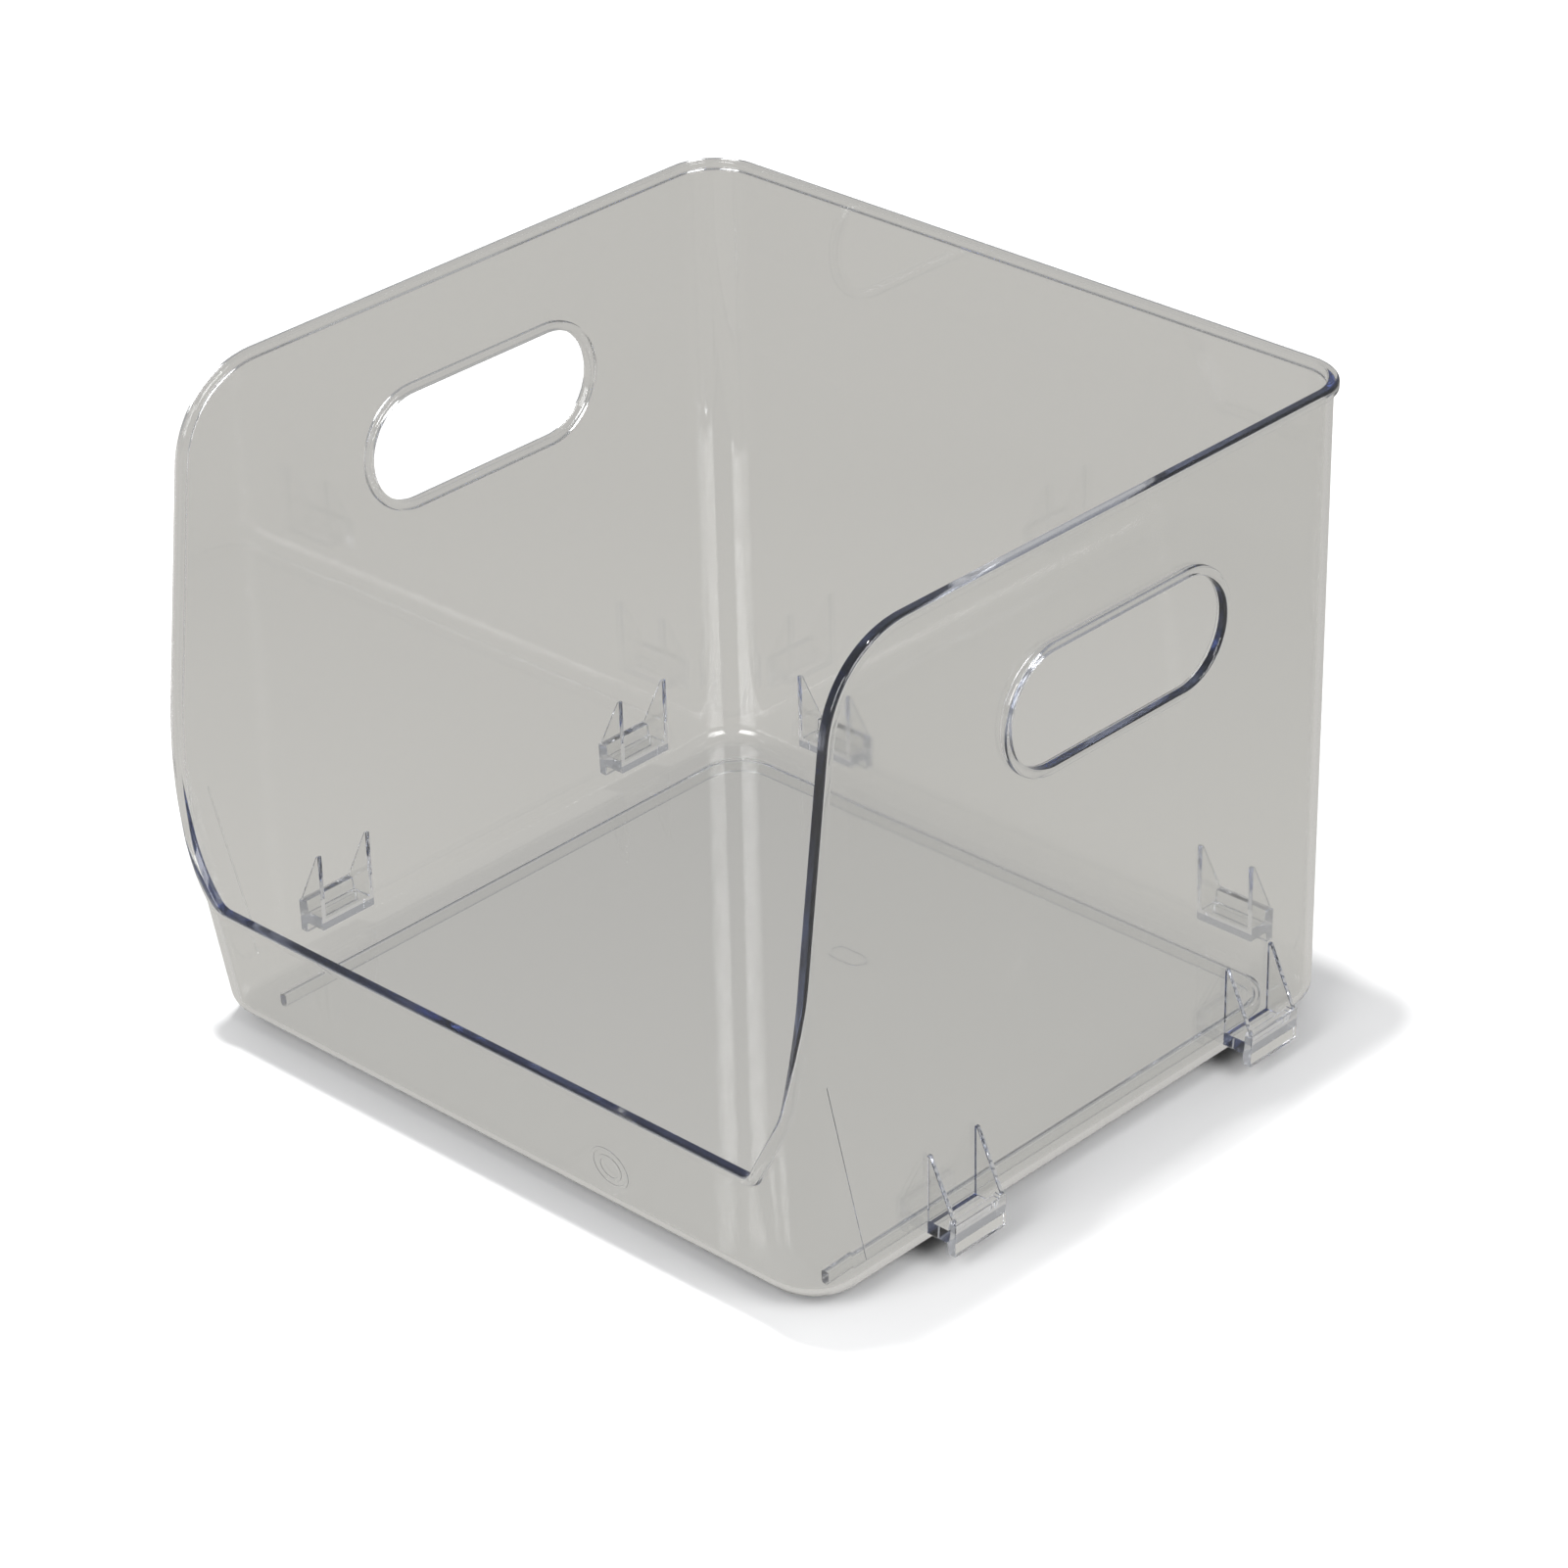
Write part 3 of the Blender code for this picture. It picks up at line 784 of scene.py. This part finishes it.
def clear_polystyrene():
    """Crystal polystyrene, injection moulded in a polished tool.

    Glass-clear and hard: sharp highlights, sheet faces almost colourless, and edges that
    turn dusky blue where light has run a long way inside the plastic.
    """
    material = bpy.data.materials.new("clear_polystyrene_moulded")
    material.use_nodes = True
    tree = material.node_tree
    shader = tree.nodes["Principled BSDF"]
    output = tree.nodes["Material Output"]
    shader.inputs["Base Color"].default_value = linear("F7F7F6")
    shader.inputs["Metallic"].default_value = 0.0
    shader.inputs["IOR"].default_value = 1.59
    shader.inputs["Roughness"].default_value = 0.03
    shader.inputs["Transmission Weight"].default_value = 1.0
    place = add(tree, "ShaderNodeTexCoord")
    # slow waves about 45 mm across, from the melt shrinking unevenly in the mould
    waves = add(
        tree, "ShaderNodeTexNoise", {"Scale": 22.0, "Detail": 1.0, "Roughness": 0.4},
        Vector=place.outputs["Object"],
    )
    # fine ripple about 4 mm across, the last trace of the tool's polishing
    ripple = add(
        tree, "ShaderNodeTexNoise", {"Scale": 260.0, "Detail": 2.0, "Roughness": 0.5},
        Vector=place.outputs["Object"],
    )
    slow = add(
        tree, "ShaderNodeBump", {"Strength": 0.18, "Distance": 0.25 * MM},
        Height=waves.outputs[0],
    )
    fine = add(
        tree, "ShaderNodeBump", {"Strength": 0.25, "Distance": 0.004 * MM},
        Height=ripple.outputs[0], Normal=slow.outputs[0],
    )
    tree.links.new(fine.outputs[0], shader.inputs["Normal"])
    smoke = add(tree, "ShaderNodeVolumeAbsorption", {"Density": 7.0, "Color": linear("4570B5")})
    tree.links.new(smoke.outputs[0], output.inputs["Volume"])
    return material


def pale_floor():
    """Matt white paper to the camera; seen through the plastic, and by every ray that is not a camera
    ray, it is a dimmer grey with painted light, a faint glow in place of the light that would come
    through the plastic.

    The grey is given and fades from front to back as painted shade, dimmer away from the camera.  Real
    paper does not do this.
    """
    material = bpy.data.materials.new("pale_floor_matt_paper")
    material.use_nodes = True
    tree = material.node_tree
    tree.nodes.clear()
    place = add(tree, "ShaderNodeTexCoord")
    turned = add(
        tree, "ShaderNodeMapping", {"Rotation": (0.0, 0.0, -CAMERA_AZIMUTH)},
        Vector=place.outputs["Object"],
    )
    split = add(tree, "ShaderNodeSeparateXYZ", Vector=turned.outputs[0])
    # Painted shade: the glow dims from front to back, away from the camera.
    fade = add(
        tree, "ShaderNodeMapRange",
        {
            "From Min": PAINTED_GLOW_FRONT_Y, "From Max": PAINTED_GLOW_BACK_Y,
            "To Min": PAINTED_GLOW_FRONT, "To Max": PAINTED_GLOW_BACK,
        },
        Value=split.outputs["Y"],
    )
    lit = add(tree, "ShaderNodeBsdfDiffuse", {"Color": linear("484745")})
    # Painted light: the paper glows though it is no lamp, standing in for light that comes through the
    # plastic.
    glow = add(tree, "ShaderNodeEmission", {"Color": linear("FFFDF8")}, Strength=fade.outputs[0])
    behind = add(tree, "ShaderNodeAddShader", i0=lit.outputs[0], i1=glow.outputs[0])
    looked_at = add(tree, "ShaderNodeBsdfDiffuse", {"Color": linear("F8F8F8")})
    # Rays other than camera rays see the painted grey and glow; the camera sees plain lit white paper.
    ray = add(tree, "ShaderNodeLightPath")
    mix = add(
        tree, "ShaderNodeMixShader",
        i0=ray.outputs["Is Camera Ray"], i1=behind.outputs[0], i2=looked_at.outputs[0],
    )
    add(tree, "ShaderNodeOutputMaterial", Surface=mix.outputs[0])
    return material


# ---------------------------------------------------------------- stage, light, camera

def make_floor():
    bpy.ops.mesh.primitive_plane_add(size=FLOOR_SIZE, location=(0.0, 0.0, 0.0))
    floor = bpy.context.object
    floor.name = "floor"
    floor.data.materials.append(pale_floor())


def make_sky():
    """Even pale surround; seen through the plastic it is about as bright as the paper is."""
    world = bpy.data.worlds.new("studio")
    bpy.context.scene.world = world
    world.use_nodes = True
    tree = world.node_tree
    tree.nodes.clear()
    place = add(tree, "ShaderNodeTexCoord")
    parts = add(tree, "ShaderNodeSeparateXYZ", Vector=place.outputs["Generated"])
    ramp = add(tree, "ShaderNodeValToRGB", Fac=parts.outputs["Z"])
    ramp.color_ramp.elements[0].position = 0.05
    ramp.color_ramp.elements[0].color = linear("EAEAE8")
    ramp.color_ramp.elements[1].position = 0.35
    ramp.color_ramp.elements[1].color = linear("DDDEE0")
    around = add(tree, "ShaderNodeBackground", {"Strength": 0.55}, Color=ramp.outputs[0])
    seen = add(tree, "ShaderNodeBackground", {"Strength": 1.0, "Color": linear("F4F4F4")})
    ray = add(tree, "ShaderNodeLightPath")
    mix = add(
        tree, "ShaderNodeMixShader",
        i0=ray.outputs["Is Camera Ray"], i1=around.outputs[0], i2=seen.outputs[0],
    )
    add(tree, "ShaderNodeOutputWorld", Surface=mix.outputs[0])


def make_light(name, place, size, power):
    """A square soft box aimed at the bin."""
    light = bpy.data.lights.new(name, "AREA")
    light.shape = "SQUARE"
    light.size = size
    light.energy = power
    box = linked(name, light)
    box.location = place
    box.rotation_euler = (LIGHT_TARGET - place).to_track_quat("-Z", "Y").to_euler()


def make_camera():
    back = Vector((
        math.sin(CAMERA_AZIMUTH) * math.cos(CAMERA_ELEVATION),
        -math.cos(CAMERA_AZIMUTH) * math.cos(CAMERA_ELEVATION),
        math.sin(CAMERA_ELEVATION),
    ))
    right = Vector((math.cos(CAMERA_AZIMUTH), math.sin(CAMERA_AZIMUTH), 0.0))
    up = back.cross(right)
    tilted_right = right * math.cos(CAMERA_ROLL) + up * math.sin(CAMERA_ROLL)
    tilted_up = up * math.cos(CAMERA_ROLL) - right * math.sin(CAMERA_ROLL)
    camera = bpy.data.cameras.new("camera")
    camera.lens = CAMERA_LENS
    camera.sensor_width = CAMERA_SENSOR
    camera.clip_end = 50.0
    holder = linked("camera", camera)
    turn = Matrix((tilted_right, tilted_up, back)).transposed().to_4x4()
    holder.matrix_world = Matrix.Translation(CAMERA_PLACE) @ turn
    bpy.context.scene.camera = holder


def set_up_rendering():
    scene = bpy.context.scene
    scene.view_settings.view_transform = "Standard"
    scene.cycles.max_bounces = 64
    scene.cycles.transmission_bounces = 64
    scene.cycles.glossy_bounces = 64
    scene.cycles.diffuse_bounces = 3
    scene.cycles.sample_clamp_indirect = 8.0
    scene.cycles.caustics_refractive = False
    scene.cycles.caustics_reflective = False


def main():
    make_camera()
    plastic = clear_polystyrene()
    body = make_bin(plastic)
    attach(body, "root")
    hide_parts(*[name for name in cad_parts])
    make_floor()
    make_sky()
    for soft_box in SOFT_BOXES:
        make_light(*soft_box)
    set_up_rendering()


main()
